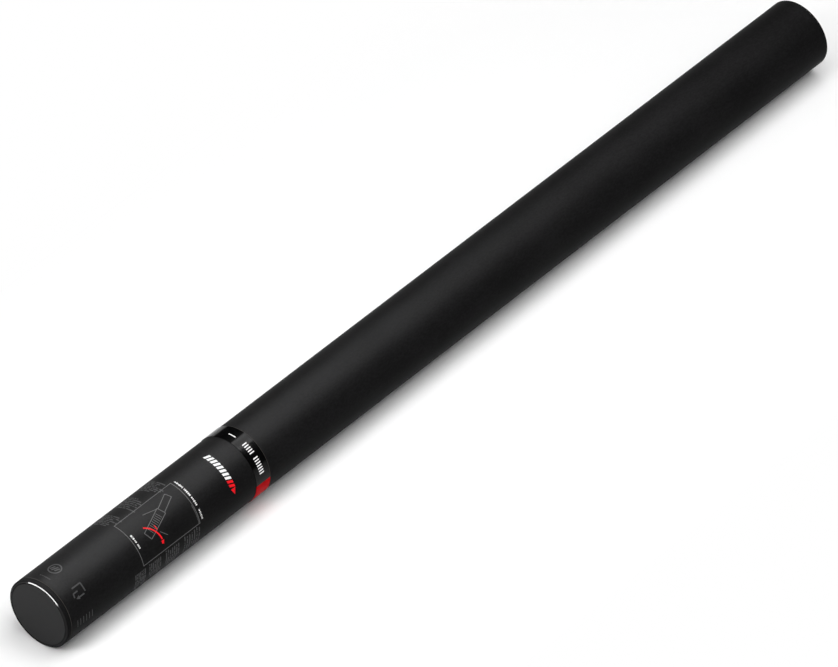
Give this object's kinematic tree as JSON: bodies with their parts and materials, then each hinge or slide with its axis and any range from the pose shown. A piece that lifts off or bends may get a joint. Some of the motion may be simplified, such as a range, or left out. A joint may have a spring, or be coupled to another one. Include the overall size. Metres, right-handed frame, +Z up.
{
  "type": "confetti popper",
  "caption": "Long hand-held twist-fire streamer popper: black card barrel and handle, gas cartridge on a cam carrier, needle, pusher, streamer rolls and push-in muzzle cap.",
  "frame": {"origin": "centre of the footprint on the floor, halfway along the tube, with the tube lying on its side", "axes": "+X along the tube from the base cap to the muzzle, +Z up, +Y to the left when looking along +X"},
  "size_m": [0.8, 0.0528, 0.0528],
  "materials": {
    "black_card": "matte black laminated, spiral-wound paper tube",
    "printed_card": "matte black laminated paper tube with printed marks",
    "band_tape": "gloss black film tape with white print",
    "tab_tape": "red film tape",
    "cap_plastic": "satin black moulding",
    "black_moulding": "black moulding",
    "grey_moulding": "grey acetal moulding",
    "needle_steel": "turned stainless steel",
    "spring_steel": "spring steel",
    "cartridge_steel": "zinc-plated drawn steel",
    "seal_brass": "rolled brass",
    "black_rubber": "nitrile rubber",
    "felt": "pressed wool felt",
    "white_paper": "uncoated paper board",
    "silver_foil": "silver metallised film"
  },
  "bodies": {
    "barrel": {"barrel_tube": "black_card", "cam_sleeve": "grey_moulding", "breech_block": "black_moulding", "breech_o_rings": "black_rubber", "piercing_needle": "needle_steel", "needle_seal": "black_rubber", "gas_diffuser": "needle_steel", "retaining_ring": "spring_steel", "hold_off_spring": "spring_steel"},
    "handle": {"handle_tube": "printed_card", "base_cap": "cap_plastic", "handle_liner": "black_moulding"},
    "carrier": {"cartridge_carrier": "grey_moulding", "cam_pins": "needle_steel", "gas_cartridge": "cartridge_steel", "cartridge_seal": "seal_brass", "cartridge_bumper": "black_rubber"},
    "band": {"safety_band": "band_tape", "pull_tab": "tab_tape"},
    "load": {"pusher": "black_moulding", "pusher_ring": "felt", "felt_wad": "felt", "streamer_roll_01": "silver_foil", "streamer_roll_02": "silver_foil", "streamer_roll_03": "silver_foil", "streamer_roll_04": "silver_foil", "streamer_roll_05": "silver_foil", "streamer_roll_06": "silver_foil", "streamer_roll_07": "silver_foil", "streamer_roll_08": "silver_foil", "streamer_roll_09": "silver_foil", "streamer_roll_10": "silver_foil", "streamer_roll_11": "silver_foil", "streamer_roll_12": "silver_foil", "streamer_roll_13": "silver_foil", "streamer_roll_14": "silver_foil", "streamer_roll_15": "silver_foil", "streamer_roll_16": "silver_foil", "streamer_roll_17": "silver_foil", "streamer_roll_18": "silver_foil", "streamer_roll_19": "silver_foil", "streamer_roll_20": "silver_foil", "streamer_roll_21": "silver_foil", "streamer_roll_22": "silver_foil", "streamer_roll_23": "silver_foil", "streamer_roll_24": "silver_foil", "front_wad": "white_paper"},
    "cap": {"muzzle_cap": "black_moulding"}
  },
  "joints": [
    {"name": "handle_twist", "type": "hinge", "parent": "barrel", "child": "handle", "pos_m": [-0.2024, 0, 0.02638], "axis": [1, 0, 0], "range_deg": [0, 90]},
    {"name": "carrier_slide", "type": "slide", "parent": "handle", "child": "carrier", "axis": [1, 0, 0], "range_m": [0, 0.008], "deforming": ["hold_off_spring"]},
    {"name": "load_slide", "type": "slide", "parent": "barrel", "child": "load", "axis": [1, 0, 0], "range_m": [0, 0.58]},
    {"name": "cap_slide", "type": "slide", "parent": "barrel", "child": "cap", "axis": [1, 0, 0], "range_m": [0, 0.58]},
    {"name": "band_slide", "type": "slide", "parent": "barrel", "child": "band", "axis": [-1, 0, 0], "range_m": [0, 0.21]}
  ],
  "couplings": [
    {"joint": "carrier_slide", "follows": "handle_twist", "m_per_rad": 0.005092},
    {"joint": "cap_slide", "follows": "load_slide", "ratio": 1}
  ]
}
